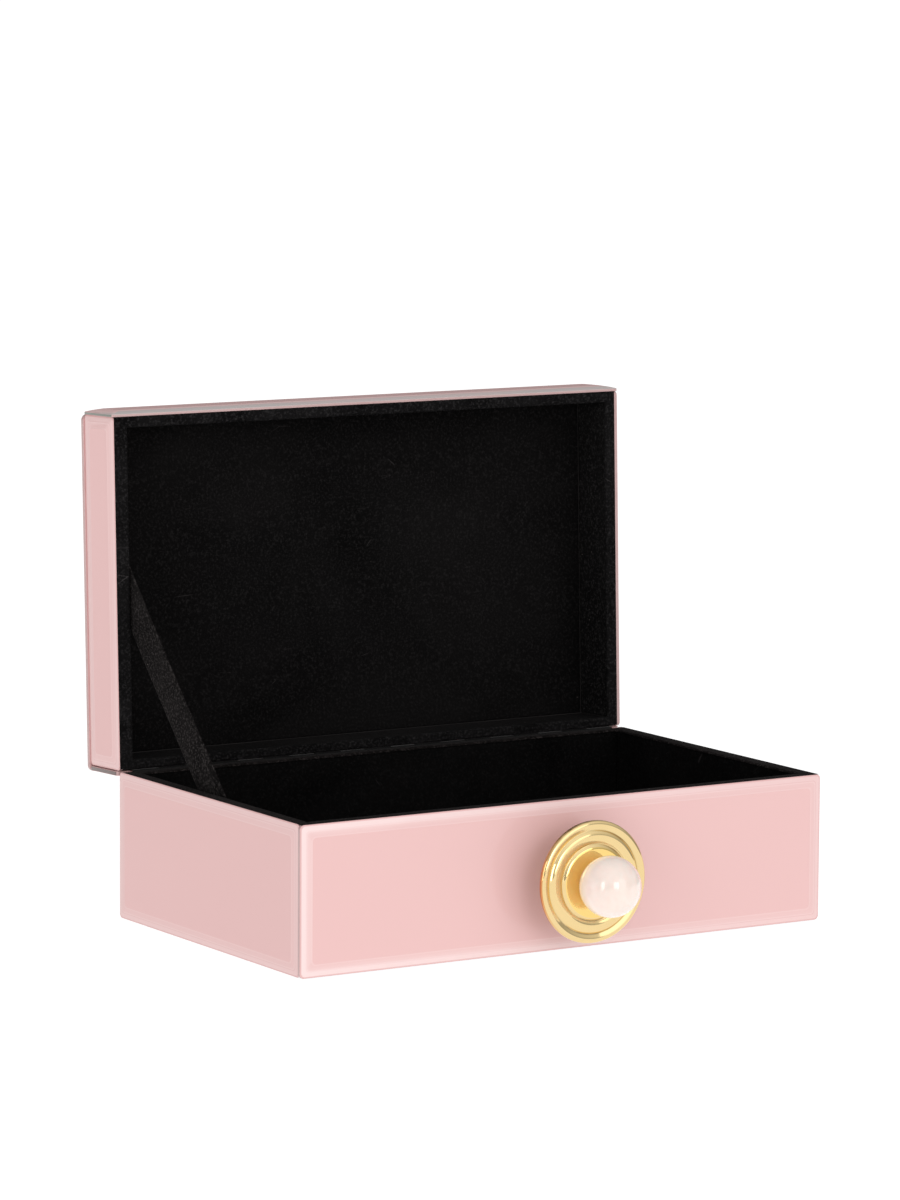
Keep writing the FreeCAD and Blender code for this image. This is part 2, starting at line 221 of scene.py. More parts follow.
def velvet(name, pile, sheen, lint=1.0, nap_scale=14.0, grain=1.0):
    """Black velvet: a fine pile, clouds painted lit and shaded where the nap lies another way, and a little lint.

    pile is its colour, sheen its strength when seen edge on, and the last argument how much single fibres
    show as painted sheen on their tips.
    """
    finish = Finish(name)
    # Lit, shaded and glinting copies of the pile: the nap's clouds and the fibres' bright tips are painted sheen.
    shaded, lit, tips = ([factor * value for value in pile] for factor in (0.62, 1.5, 5.5))
    fibre = finish.noise(780.0, detail=3.0, roughness=0.75)
    tuft = finish.noise(520.0, detail=3.0)
    nap = finish.noise(nap_scale, detail=4.0, roughness=0.62, distortion=0.5)
    lie = finish.ramp(nap, (0.36, 0.0), (0.66, 1.0))
    colour = finish.mix(lie, shaded, lit)
    stray = finish.maths("MULTIPLY", finish.ramp(fibre, (0.50, 0.0), (0.72, 1.0)), grain, clamp=True)
    colour = finish.mix(stray, colour, tips)
    flecks = finish.cells(120.0, vector=finish.stretched((1.0, 0.8, 1.3)))
    specks = finish.ramp(flecks, (0.0, 1.0), (0.05, 0.0))
    chosen = finish.ramp(finish.noise(47.0, detail=1.0), (0.57, 0.0), (0.66, lint))
    colour = finish.mix(finish.maths("MULTIPLY", specks, chosen), colour, (0.20, 0.17, 0.16))
    strands = finish.cells(34.0, vector=finish.stretched((0.35, 1.0, 2.2)), feature="DISTANCE_TO_EDGE")
    hairs = finish.ramp(strands, (0.0, 1.0), (0.004, 0.0))
    few = finish.ramp(finish.noise(60.0, detail=1.0), (0.66, 0.0), (0.72, 0.5 * lint))
    colour = finish.mix(finish.maths("MULTIPLY", hairs, few), colour, (0.09, 0.08, 0.08))
    height = finish.maths("ADD", finish.maths("MULTIPLY", fibre, 0.4), tuft)
    finish.set(Base_Color=colour, Roughness=0.95, Specular_IOR_Level=0.02)
    finish.set(Sheen_Weight=sheen, Sheen_Roughness=0.40, Sheen_Tint=(0.80, 0.76, 0.76, 1.0))
    finish.set(Normal=finish.bump(height, 0.0006, 0.6))
    return finish.material


def polished_brass():
    """Polished brass, slightly wavy and pitted; the mesh gives a painted reflection of the ball, darkening from
    residue, painted shade and a painted dark reflection, and a redder side.
    """
    finish = Finish("polished_brass")
    cloud = finish.noise(70.0, detail=4.0)
    pale = finish.mix(cloud, (0.810, 0.615, 0.300), (0.850, 0.650, 0.335))
    # A painted reflection of the ball, orange, where the mesh marks it.
    colour = finish.mix(finish.attribute("warm"), pale, (0.97, 0.660, 0.200))
    patchy = finish.ramp(finish.noise(240.0, detail=3.0), (0.30, 0.55), (0.62, 1.0))
    # Darkening: residue and painted shade in the steps, painted shade behind, a painted dark reflection on the
    # side.
    grime = finish.maths("MULTIPLY", finish.attribute("grime"), patchy, clamp=True)
    colour = finish.mix(grime, colour, (0.10, 0.045, 0.012))
    colour = finish.mix(finish.attribute("copper"), colour, (0.62, 0.20, 0.045))
    pits = finish.ramp(finish.cells(420.0), (0.0, 1.0), (0.035, 0.0))
    few = finish.ramp(finish.noise(130.0, detail=1.0), (0.60, 0.0), (0.66, 1.0))
    colour = finish.mix(finish.maths("MULTIPLY", pits, few), colour, (0.42, 0.24, 0.06))
    wave = finish.noise(55.0, detail=2.0)
    finish.set(Base_Color=colour, Metallic=1.0, Normal=finish.bump(wave, 0.0002, 0.05))
    finish.set(Roughness=finish.ramp(finish.noise(160.0, detail=5.0), (0.3, 0.05), (0.75, 0.12)))
    return finish.material


def rose_quartz():
    """Milky stone with faint clouds and healed cracks; a faint glow stands for the light inside it."""
    finish = Finish("rose_quartz")
    cloud = finish.noise(65.0, detail=5.0, roughness=0.6, distortion=0.9)
    milk = finish.ramp(cloud, (0.34, 0.0), (0.68, 1.0))
    colour = finish.mix(milk, (0.580, 0.500, 0.455), (0.628, 0.556, 0.512))
    cracks = finish.cells(48.0, vector=finish.stretched((1.0, 0.5, 1.4)), feature="DISTANCE_TO_EDGE")
    veil = finish.ramp(cracks, (0.0, 1.0), (0.035, 0.0))
    faint = finish.ramp(finish.noise(40.0, detail=2.0), (0.48, 0.0), (0.68, 0.45))
    colour = finish.mix(finish.maths("MULTIPLY", veil, faint), colour, (0.76, 0.70, 0.66))
    finish.set(Base_Color=colour, Roughness=0.22, Subsurface_Weight=0.90, Subsurface_Scale=0.022)
    finish.shader.inputs["Subsurface Radius"].default_value = (1.0, 0.62, 0.55)
    finish.set(Coat_Weight=1.0, Coat_Roughness=0.02, Coat_IOR=1.62)
    finish.set(Emission_Color=(1.0, 0.86, 0.76, 1.0), Emission_Strength=0.22)
    return finish.material


def fibreboard():
    """Fibreboard stained black, so that it doesn't show in the gaps between the velvet panels."""
    finish = Finish("stained_fibreboard")
    fibre = finish.noise(900.0, detail=5.0, roughness=0.7, vector=finish.stretched((0.25, 1.0, 1.0)))
    colour = finish.mix(fibre, (0.006, 0.005, 0.005), (0.014, 0.011, 0.010))
    finish.set(Base_Color=colour, Roughness=0.85, Normal=finish.bump(fibre, 0.0003, 0.5))
    return finish.material


def hinge_metal(name, low, high, scale, metallic=1.0):
    """Rolled or turned metal with fine lines along its length, bare or lacquered."""
    finish = Finish(name)
    lines = finish.noise(scale, detail=4.0, vector=finish.stretched((0.05, 1.0, 1.0)))
    finish.set(Base_Color=finish.mix(lines, low, high), Metallic=metallic)
    finish.set(Normal=finish.bump(lines, 0.0001, 0.5))
    finish.set(Roughness=finish.ramp(lines, (0.3, 0.30), (0.7, 0.48)), Specular_IOR_Level=0.1)
    return finish.material


# --- Mesh tools -----------------------------------------------------------------------------------
def make(name, corners, faces, material, body=None, replaced=(), matrix=STILL):
    """A smooth mesh with one material or several, on a body, in place of the replaced nodes."""
    mesh = bpy.data.meshes.new(name)
    mesh.from_pydata([matrix @ Vector(corner) for corner in corners], [], faces)
    mesh.validate()
    for polygon in mesh.polygons:
        polygon.use_smooth = True
    piece = bpy.data.objects.new(name, mesh)
    bpy.context.scene.collection.objects.link(piece)
    for item in material if isinstance(material, (list, tuple)) else [material]:
        mesh.materials.append(item)
    if body:
        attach(piece, body)
    if replaced:
        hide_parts(*replaced)
    return piece


def rounded_outline(half_width, low, high, inset, radius, steps=6):
    """Points round a rectangle in x and z, set in from its edge, with its corners rounded."""
    right, top, bottom = half_width - inset - radius, high - inset - radius, low + inset + radius
    points = []
    for x, z, start in ((right, bottom, -90), (right, top, 0), (-right, top, 90), (-right, bottom, 180)):
        for step in range(steps + 1):
            angle = math.radians(start + 90 * step / steps)
            points.append((x + radius * math.cos(angle), z + radius * math.sin(angle)))
    return points


PINK_SLOT, GREEN_SLOT, BROWN_SLOT = 1, 2, 3


def glass_panel(node, body, width, height, matrix, corner=CORNER, depth=BEVEL_DEPTH, end_slot=PINK_SLOT,
                front=False, worn_rim=False):
    """A bevelled plate in its own x and z, its outward face towards +Y.

    Its two ends show the tint in end_slot.  The front's bevel has a painted highlight at its +x end, and on the
    lid's front the bevel that meets its rim is greyed in streaks.
    """
    edge = GLASS - depth
    rings = [(ARRIS, 0.0, corner - ARRIS), (0.0, ARRIS, corner), (0.0, edge - ARRIS, corner),
             (ARRIS, edge, corner - ARRIS),
             (BEVEL_RIDGE[0] * BEVEL_WIDTH, edge + BEVEL_RIDGE[1] * depth, BEVEL_RIDGE_CORNER),
             (BEVEL_WIDTH, GLASS, CORNER)]
    corners = []
    insets = []
    for inset, out, radius in rings:
        outline = rounded_outline(width / 2, 0.0, height, inset, radius)
        corners += [(x, out, z) for x, z in outline]
        insets += [inset] * len(outline)
    around = len(corners) // len(rings)
    faces = [list(range(around))[::-1]]
    for ring in range(len(rings) - 1):
        for step in range(around):
            following = (step + 1) % around
            faces.append([ring * around + step, ring * around + following,
                          (ring + 1) * around + following, (ring + 1) * around + step])
    faces.append(list(range((len(rings) - 1) * around, len(rings) * around)))
    faces = [face[::-1] for face in faces]
    piece = make(node + "_panel", corners, faces, [PAINTED, *EDGES], body, [node], matrix)
    mesh = piece.data
    # A painted highlight along the front's bevel at its +x end, which is the box's left.
    pale = [1.0 if front and x > width / 2 - 1.01 * BEVEL_WIDTH else 0.0 for x, _, _ in corners]
    grey = [1.0 if worn_rim and z < 0.5 * BEVEL_WIDTH else 0.0 for _, _, z in corners]
    for attribute, values in (("in_from_edge", insets), ("pale", pale), ("grey", grey)):
        mesh.attributes.new(attribute, "FLOAT", "POINT").data.foreach_set("value", values)
    for edge_of_mesh in mesh.edges:
        first, second = edge_of_mesh.vertices
        edge_of_mesh.use_edge_sharp = first // around == second // around
    to_own_axes = matrix.to_3x3().inverted()
    for index, polygon in enumerate(mesh.polygons):
        ring = (index - 1) // around
        if index > 0 and ring < 2:
            at_end = abs((to_own_axes @ polygon.normal).x) > 0.8
            polygon.material_index = end_slot if at_end else PINK_SLOT
    return piece


ON_AXIS = 1e-9


def lathe(name, profile, material, replaced, slot, steps, **attributes):
    """A part of the pull: the profile's points are pairs of radius and distance out, both ends on the axis.

    Each attribute is a function of radius, distance out and angle.
    """
    corners = []
    turned = []
    for radius, along in profile:
        for step in range(steps if radius > ON_AXIS else 1):
            angle = 2 * math.pi * step / steps
            corners.append((radius * math.cos(angle), radius * math.sin(angle), along))
            turned.append((radius, along, angle))
    faces = []
    start = 0
    for (r0, _), (r1, _) in zip(profile, profile[1:]):
        wide0, wide1 = r0 > ON_AXIS, r1 > ON_AXIS
        after = start + (steps if wide0 else 1)
        for step in range(steps):
            following = (step + 1) % steps
            if wide0 and wide1:
                faces.append([start + step, start + following, after + following, after + step])
            elif wide1:
                faces.append([start, after + following, after + step])
            elif wide0:
                faces.append([start + step, start + following, after])
        start = after
    place = Matrix.Translation(KNOB) @ FORWARD
    piece = make(name, corners, faces, material, "base", replaced, place)
    for attribute, of_point in attributes.items():
        values = [of_point(*point) for point in turned]
        piece.data.attributes.new(attribute, "FLOAT", "POINT").data.foreach_set("value", values)
    return piece


# The rim's section: how far in from its outer edge, or out across the lip where negative, and how high.
RIM_SECTION = [(0.0, 0.0), (0.0, 1.01), (-1.0, 1.01), (-1.0, 1.07), (-0.93, 1.12), (-0.5, 1.14),
               (0.0, 1.15), (0.12, 1.16), (0.35, 1.17), (0.60, 1.16), (0.80, 1.08), (0.91, 0.90),
               (0.97, 0.55), (1.0, 0.10), (1.0, 0.0)]
MITRE_SINK = 0.40
MITRE_REACH = 0.8 * MM


def rim_strip(name, body, outer, inner, lips, low, high, matrix, seed):
    """A velvet-wrapped rim: four rounded strips that meet in mitred, slightly sunken corners.

    outer and inner are pairs of corners in x and y.  A thin lip of the velvet is turned out over the glass's
    edge, by lips at the left, right and front.  The exposed face is at high, which is below low on the lid,
    whose rim faces down.
    """
    up = 1 if high > low else -1
    deep = abs(high - low)
    lip_low = (outer[0][0] - lips[0], outer[0][1] - lips[2])
    lip_high = (outer[1][0] + lips[1], outer[1][1])
    near_mitre = [0.0, 0.002, 0.005, 0.010, 0.020]
    between = [i / 90 for i in range(3, 88)]
    stations = near_mitre + between + [1.0 - station for station in reversed(near_mitre)]
    rings = []
    for (x0, y0), (x1, y1) in ((lip_low, lip_high), outer, inner):
        rings.append([(x0, y0), (x1, y0), (x1, y1), (x0, y1)])
    corners = []
    faces = []
    wide = len(RIM_SECTION)
    for side in range(4):
        ends = [(ring[side], ring[(side + 1) % 4]) for ring in rings]
        start = len(corners)
        for station in stations:
            lip_point, outer_point, inner_point = (
                [a[k] + (b[k] - a[k]) * station for k in (0, 1)] for a, b in ends)
            from_mitre = min(station, 1 - station) * math.dist(*ends[1])
            sunk = MITRE_SINK * math.exp(-from_mitre / MITRE_REACH)
            for across, rise in RIM_SECTION:
                far = inner_point if across >= 0 else lip_point
                x, y = (outer_point[k] + (far[k] - outer_point[k]) * abs(across) for k in (0, 1))
                here = Vector((x, y, seed))
                ripple = 0.08 * noise.noise(here * 60.0) + 0.04 * noise.noise(here * 300.0)
                soft = (rise - 0.5) if across >= 0 and rise > 0.5 else 0.0
                corners.append((x, y, low + up * deep * (rise - (sunk - ripple) * soft)))
        for step in range(len(stations) - 1):
            for across in range(wide):
                k = start + step * wide + across
                following = start + step * wide + (across + 1) % wide
                faces.append([k, following, following + wide, k + wide])
    replaced = [f"{body}_rim_velvet"]
    return weld(make(name, corners, faces, RIM_VELVETS[body], body, replaced, matrix))


def weld(piece, distance=0.01 * MM):
    """Join corners that lie together and turn the faces outward."""
    mesh = bmesh.new()
    mesh.from_mesh(piece.data)
    bmesh.ops.remove_doubles(mesh, verts=mesh.verts, dist=distance)
    bmesh.ops.recalc_face_normals(mesh, faces=mesh.faces)
    mesh.to_mesh(piece.data)
    mesh.free()
    return piece


def pillow(name, node, body, low, high, face_axis, face_sign, material, matrix=STILL, crown=0.5 * MM,
           soft=1.2 * MM, seed=0.0, cells=(60, 24)):
    """A lining panel: card wrapped in velvet, its open face slightly crowned and its edges rolled over."""
    low, high = Vector(low), Vector(high)
    flat = [axis for axis in range(3) if axis != face_axis]
    near, far = (low, high) if face_sign > 0 else (high, low)
    back, front = near[face_axis], far[face_axis]
    spans = [high[axis] - low[axis] for axis in flat]
    marks = []
    for span, count in zip(spans, cells):
        roll = [soft * (1 - math.cos(math.radians(a))) for a in (0, 25, 50, 70, 90)]
        middle = [soft + (span - 2 * soft) * i / count for i in range(1, count)]
        marks.append(roll + middle + [span - r for r in reversed(roll)])
    columns, rows = len(marks[0]), len(marks[1])
    depth = abs(front - back)
    corners = []
    for u in marks[0]:
        for v in marks[1]:
            edge = min(u, spans[0] - u, v, spans[1] - v)
            rolled = 1.0 if edge >= soft else math.sqrt(max(0.0, 1 - (1 - edge / soft) ** 2))
            bulge = crown
            for place, span in ((u, spans[0]), (v, spans[1])):
                bulge *= math.sin(math.pi * place / span) ** 0.6
            point = Vector((0.0, 0.0, 0.0))
            point[flat[0]] = low[flat[0]] + u
            point[flat[1]] = low[flat[1]] + v
            wave = 0.10 * MM * noise.noise(point * 38.0 + Vector((seed, 0, 0)))
            point[face_axis] = back + (front - back) / depth * (depth - crown + bulge + wave) * rolled
            corners.append(point)
    faces = [[c * rows + r, (c + 1) * rows + r, (c + 1) * rows + r + 1, c * rows + r + 1]
             for c in range(columns - 1) for r in range(rows - 1)]
    border = ([(c, 0) for c in range(columns)] + [(columns - 1, r) for r in range(1, rows)]
              + [(c, rows - 1) for c in range(columns - 2, -1, -1)]
              + [(0, r) for r in range(rows - 2, 0, -1)])
    faces.append([c * rows + r for c, r in border][::-1])
    piece = weld(make(name, corners, faces, material, body, [node], matrix))
    return piece


def smoothed(points, rounds=2):
    """The same outline with its corners cut, keeping its first and last points."""
    for _ in range(rounds):
        cut = [points[0]]
        for (r0, s0), (r1, s1) in zip(points, points[1:]):
            cut.append((0.75 * r0 + 0.25 * r1, 0.75 * s0 + 0.25 * s1))
            cut.append((0.25 * r0 + 0.75 * r1, 0.25 * s0 + 0.75 * s1))
        points = cut + [points[-1]]
    return points


def scaled(points):
    """Points in millimetres as metres."""
    return [(radius * MM, along * MM) for radius, along in points]


# --- Glass ----------------------------------------------------------------------------------------
PAINTED = painted_glass()
EDGE_PINK = glass_edge("glass_edge_pink", (0.56, 0.375, 0.365), (0.42, 0.25, 0.24))
EDGE_GREEN = glass_edge("glass_edge_green", (0.20, 0.215, 0.18), (0.13, 0.145, 0.12))
EDGE_BROWN = glass_edge("glass_edge_brown", (0.17, 0.115, 0.105), (0.10, 0.062, 0.058))
EDGES = [EDGE_PINK, EDGE_GREEN, EDGE_BROWN]


def upright(node, body, turn, swing=STILL, **how):
    """A wall's glass, turned about Z so that it faces outward."""
    low, high = shut_box(node) if body == "lid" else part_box(node)
    centre = (low + high) / 2
    size = high - low
    along = size.y if turn in (90, -90) else size.x
    inward = Matrix.Rotation(math.radians(turn), 4, "Z") @ Vector((0, -1, 0))
    origin = Vector((centre.x, centre.y, low.z)) + inward * GLASS / 2
    matrix = swing @ Matrix.Translation(origin) @ Matrix.Rotation(math.radians(turn), 4, "Z")
    glass_panel(node, body, along, size.z, matrix, **how)


upright("base_glass_front", "base", 180, front=True)
upright("lid_glass_front", "lid", 180, SWING, depth=1.5 * MM, end_slot=GREEN_SLOT, worn_rim=True)
upright("base_glass_back", "base", 0)
upright("lid_glass_back", "lid", 0, SWING, end_slot=BROWN_SLOT)
for node, turn in (("left", 90), ("right", -90)):
    upright(f"base_glass_{node}", "base", turn)
    upright(f"lid_glass_{node}", "lid", turn, SWING)
top_low, top_high = shut_box("lid_glass_top")
top_place = Matrix.Translation((0, top_high.y, top_low.z)) @ Matrix.Rotation(math.radians(90), 4, "X")
glass_panel("lid_glass_top", "lid", top_high.x - top_low.x, top_high.y - top_low.y, SWING @ top_place,
            corner=3.0 * MM)

# --- Velvet ---------------------------------------------------------------------------------------
BASE_RIM = velvet("velvet_base_rim", (0.0062, 0.0052, 0.0051), sheen=0.022, lint=1.6, nap_scale=45.0)
LID_RIM = velvet("velvet_lid_rim", (0.0048, 0.0045, 0.0046), sheen=0.015, lint=1.6, nap_scale=45.0)
RIM_VELVETS = {"base": BASE_RIM, "lid": LID_RIM}
VELVET_LID = velvet("velvet_lid", (0.0038, 0.0035, 0.0035), sheen=0.008, lint=0.8, nap_scale=9.0,
                    grain=0.6)
# A lighter copy of the lid's velvet for its right lining: painted light on that side.
VELVET_LID_SIDE = velvet("velvet_lid_side", (0.0066, 0.0062, 0.0062), sheen=0.012, lint=0.8, nap_scale=9.0)
VELVET_TRAY = velvet("velvet_tray", (0.0027, 0.0025, 0.0025), sheen=0.008, lint=0.5, grain=0.5)
RIBBON = velvet("velvet_ribbon", (0.0064, 0.0057, 0.0056), sheen=0.017, lint=1.6, nap_scale=60.0,
                grain=1.6)

# Body, node inside the rim, the velvet's lips at the left, right and front, and the seed of its ripples.
RIMS = (("base", "base_floor_pad", (SIDE_LIP, SIDE_LIP, SIDE_LIP), 1.0),
        ("lid", "lid_lining_top", (SIDE_LIP, 0.3 * MM, 0.0), 7.0))
for body, floor_node, lips, seed in RIMS:
    corners_of = shut_box if body == "lid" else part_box
    rim_low, rim_high = corners_of(f"{body}_rim_velvet")
    inner_low, inner_high = corners_of(floor_node)
    ends = (rim_high.z, rim_low.z) if body == "lid" else (rim_low.z, rim_high.z)
    rim_strip(f"{body}_rim", body, (rim_low.xy, rim_high.xy), (inner_low.xy, inner_high.xy), lips, *ends,
              SWING if body == "lid" else STILL, seed)

for body, material, matrix in (("base", VELVET_TRAY, STILL), ("lid", VELVET_LID, SWING)):
    for side, axis, sign in (("front", 1, 1), ("back", 1, -1), ("left", 0, 1), ("right", 0, -1)):
        node = f"{body}_lining_{side}"
        low, high = shut_box(node) if body == "lid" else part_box(node)
        # The lid's right lining takes the lighter copy, painted light.
        pile = VELVET_LID_SIDE if node == "lid_lining_right" else material
        pillow(f"{node}_panel", node, body, low, high, axis, sign, pile, matrix, crown=0.4 * MM,
               soft=0.6 * MM, seed=len(node) + axis)

UPRIGHT_AXIS = 2
pillow("base_floor_cushion", "base_floor_pad", "base", *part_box("base_floor_pad"), UPRIGHT_AXIS, 1,
       VELVET_TRAY, crown=1.2 * MM, soft=2.0 * MM)
pillow("lid_lining_top_panel", "lid_lining_top", "lid", *shut_box("lid_lining_top"), UPRIGHT_AXIS, -1,
       VELVET_LID, SWING, crown=0.7 * MM, soft=0.7 * MM, cells=(110, 66))

# --- Pull -----------------------------------------------------------------------------------------
BRASS = polished_brass()
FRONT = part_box("base_glass_front")[0].y
ball_low, ball_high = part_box("knob_ball")
KNOB = Vector((0, FRONT, (ball_low.z + ball_high.z) / 2))
FORWARD = Matrix.Rotation(math.radians(90), 4, "X")
BALL_RADIUS = (ball_high.z - ball_low.z) / 2
BALL_OUT = FRONT - (ball_low.y + BALL_RADIUS)

# Radius and distance out, in millimetres: the face, its two steps, the side, the back and the hub.
disc_outline = smoothed([
    (0.0, 23.0), (4.0, 23.3), (7.0, 24.0), (8.4, 24.4), (10.0, 24.50), (12.5, 24.51), (16.0, 24.50),
    (16.8, 24.42), (17.6, 24.10), (18.15, 23.64), (18.5, 23.28), (18.8, 23.22), (19.1, 23.30),
    (19.7, 23.60), (20.4, 23.81), (21.5, 23.92), (22.9, 23.92), (23.4, 23.84), (24.2, 23.52),
    (24.75, 23.02), (25.1, 22.62), (25.36, 22.38), (25.65, 22.42), (26.4, 22.72), (27.2, 23.03),
    (27.8, 23.14), (28.4, 23.12), (29.1, 22.86), (29.6, 22.42), (29.90, 22.0), (30.0, 21.5),
    (29.9, 20.7), (29.5, 20.42), (24.0, 20.4), (16.0, 20.3), (13.2, 19.9), (12.9, 18.6), (12.7, 17.6),
    (12.0, 17.42), (4.0, 17.4), (0.0, 17.4)])
STEPS_IN_BRASS = [(18.75 * MM, 23.25 * MM), (25.40 * MM, 22.42 * MM)]
STEP_TARNISH = 0.22 * MM
DISC_BACK = 20.75 * MM
SIDE_RADIUS, SIDE_OUT = 29.5 * MM, 22.5 * MM
INNER_FACE, OUTER_STEP = 17.3 * MM, 24.9 * MM


def towards(angle, aim, width):
    """From 0 to 1 as an angle about the disc's axis nears aim, in degrees from the right, over the top."""
    apart = math.remainder(angle - math.radians(aim), 2 * math.pi)
    return math.exp(-(apart / math.radians(width)) ** 2)


def on_side(radius, along):
    return radius > SIDE_RADIUS and along < SIDE_OUT


def tarnish(radius, along, angle):
    """Residue and painted shade in the two steps, mostly low down; a painted dark reflection along the upper
    left of the side; and painted shade behind.
    """
    # The back is darkened: painted shade that deepens the shadow the disc casts on the glass.
    if along < DISC_BACK:
        return 0.5
    # In the steps, residue with painted shade, strongest low down.
    in_step = sum(math.exp(-math.dist((radius, along), foot) / STEP_TARNISH) for foot in STEPS_IN_BRASS)
    round_step = 0.12 + 0.9 * towards(angle, -100, 34) + 0.4 * towards(angle, 30, 30)
    # A painted dark reflection along the upper left of the side.
    round_side = 0.95 * towards(angle, 113, 30) if on_side(radius, along) else 0.0
    return min(1.0, in_step * round_step + round_side)


def coppery(radius, along, angle):
    """The disc's side is redder on the left."""
    return 0.75 * towards(angle, 180, 42) if on_side(radius, along) else 0.0


def warmth(radius, along, angle):
    """A painted reflection of the ball: orange on the middle of the face, faint on the step round it."""
    return 0.75 if radius < INNER_FACE else 0.05 if radius < OUTER_STEP else 0.0


lathe("knob_disc_turned", scaled(disc_outline), BRASS, ["knob_disc"], "polished_brass", steps=192,
      grime=tarnish, copper=coppery, warm=warmth)

# The stem: a flange on the glass, a waist, and a flare under the disc's hub.
stem_outline = smoothed([
    (0.0, 0.02), (9.6, 0.02), (10.0, 0.4), (10.0, 1.5), (9.5, 2.0), (8.0, 2.3), (6.6, 3.4), (6.0, 5.2),
    (5.9, 8.6), (6.1, 12.0), (6.8, 14.8), (8.0, 17.0), (8.0, 17.4), (0.0, 17.4)])
lathe("knob_stem_turned", scaled(stem_outline), BRASS, ["knob_stem"], "polished_brass", steps=96)

STONE = rose_quartz()
BALL_STEPS = 96
ball_outline = []
for step in range(BALL_STEPS + 1):
    angle = math.pi * step / BALL_STEPS
    radius = BALL_RADIUS * math.sin(angle) if 0 < step < BALL_STEPS else 0.0
    ball_outline.append((radius, BALL_OUT + BALL_RADIUS * math.cos(angle)))
lathe("knob_ball_polished", ball_outline, STONE, ["knob_ball"], "rose_quartz", steps=144)

# --- Ribbon stay ----------------------------------------------------------------------------------
stay_low, stay_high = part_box("stay_ribbon")
STAY_WIDTH = 20.0 * MM
STAY_THICK = 0.9 * MM
STAY_SWAY = 0.22 * MM       # how far it waves off its flat
STAY_ROLL = 0.21 * MM       # how far its edges roll towards +X
STAY_SHIFT = -0.072 * MM    # and its middle lies this much the other way


def ribbon_stay():
    """A velvet ribbon, tight between the tray's left wall and the lid's, its edges a little rolled."""
    slope = math.atan2(stay_high.z - stay_low.z, stay_high.y - stay_low.y)
    for _ in range(20):  # the slope whose ribbon, with square ends, just fills its box
        rise = stay_high.z - stay_low.z - STAY_WIDTH * math.cos(slope)
        run = stay_high.y - stay_low.y - STAY_WIDTH * math.sin(slope)
        slope = math.atan2(rise, run)
    length = math.hypot(rise, run)
    along = Vector((0, math.cos(slope), math.sin(slope)))
    across = Vector((0, math.sin(slope), -math.cos(slope)))
    middle = (stay_low + stay_high) / 2
    start = middle - along * length / 2
    wall = Vector((1, 0, 0))
    rows, columns = 90, 16
    corners = []
    for side in (1, -1):
        for row in range(rows + 1):
            t = row / rows
            for column in range(columns + 1):
                u = 2 * column / columns - 1
                roll = STAY_ROLL * u ** 6 + STAY_SHIFT
                sway = STAY_SWAY * math.sin(2 * math.pi * t + 0.6)
                sway += 0.12 * MM * noise.noise(Vector((9 * t, u, 3.1)))
                edge = STAY_THICK / 2 * (1 - 0.55 * abs(u) ** 8)
                waver = 0.25 * MM * noise.noise(Vector((t * 11.0, 4.0, 0.3))) * abs(u)
                point = start + along * (length * t) + across * (u * STAY_WIDTH / 2 + waver)
                corners.append(point + wall * (sway + roll + side * edge))
    size = (rows + 1) * (columns + 1)
    wide = columns + 1
    faces = []
    for row in range(rows):
        for column in range(columns):
            k = row * wide + column
            face = [k, k + 1, k + wide + 1, k + wide]
            faces.append(face[::-1])
            faces.append([size + index for index in face])
    loop = ([c for c in range(columns)] + [r * wide + columns for r in range(rows)]
            + [rows * wide + c for c in range(columns, 0, -1)] + [r * wide for r in range(rows, 0, -1)])
    for index, corner in enumerate(loop):
        following = loop[(index + 1) % len(loop)]
        faces.append([corner, following, size + following, size + corner])
    piece = weld(make("stay_ribbon_velvet", corners, faces, RIBBON))
    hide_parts("stay_ribbon")
    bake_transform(piece)
    return piece


ribbon_stay()

# --- Pieces that keep the frame's shape -----------------------------------------------------------
BOARD = fibreboard()
HINGE_BLACK = hinge_metal("black_lacquered_hinge", (0.004, 0.004, 0.004), (0.010, 0.009, 0.009), 900.0,
                          metallic=0.0)
STEEL = hinge_metal("bright_steel", (0.48, 0.48, 0.50), (0.66, 0.66, 0.68), 1500.0)
FELT = velvet("black_felt", (0.012, 0.012, 0.013), sheen=0.03, lint=0.3, nap_scale=40.0)
KEPT = {"board": BOARD, "hinge_black": HINGE_BLACK, "steel": STEEL, "felt": FELT}
slots = {part["node"]: part["material_slot"] for part in frame["record"]["subparts"]}
for name, item in frame["nodes"].items():
    if not item.hide_render:
        item.data.materials.clear()
        item.data.materials.append(KEPT[slots[name]])

# --- Stage: floor, light and camera ---------------------------------------------------------------
def floor():
    """A white table, just under the felt, that glows so that it stays white in the shade of the box."""
    mesh = bpy.data.meshes.new("floor")
    reach = 40.0
    level = -0.3 * MM
    corners = [(x * reach, y * reach, level) for x, y in ((-1, -1), (1, -1), (1, 1), (-1, 1))]
    mesh.from_pydata(corners, [], [(0, 1, 2, 3)])
    item = bpy.data.objects.new("floor", mesh)
    bpy.context.scene.collection.objects.link(item)
    finish = Finish("pale_floor")
    finish.set(Base_Color=(0.20, 0.20, 0.20, 1.0), Roughness=0.9, Specular_IOR_Level=0.0)
    finish.set(Emission_Color=(1.0, 1.0, 1.0, 1.0), Emission_Strength=0.94)
    mesh.materials.append(finish.material)
    item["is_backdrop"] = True


def direction(azimuth, elevation):
    """The unit vector at an azimuth, 0 being the front, and an elevation, both in degrees."""
    a, e = math.radians(azimuth), math.radians(elevation)
    return Vector((math.sin(a) * math.cos(e), -math.cos(a) * math.cos(e), math.sin(e)))


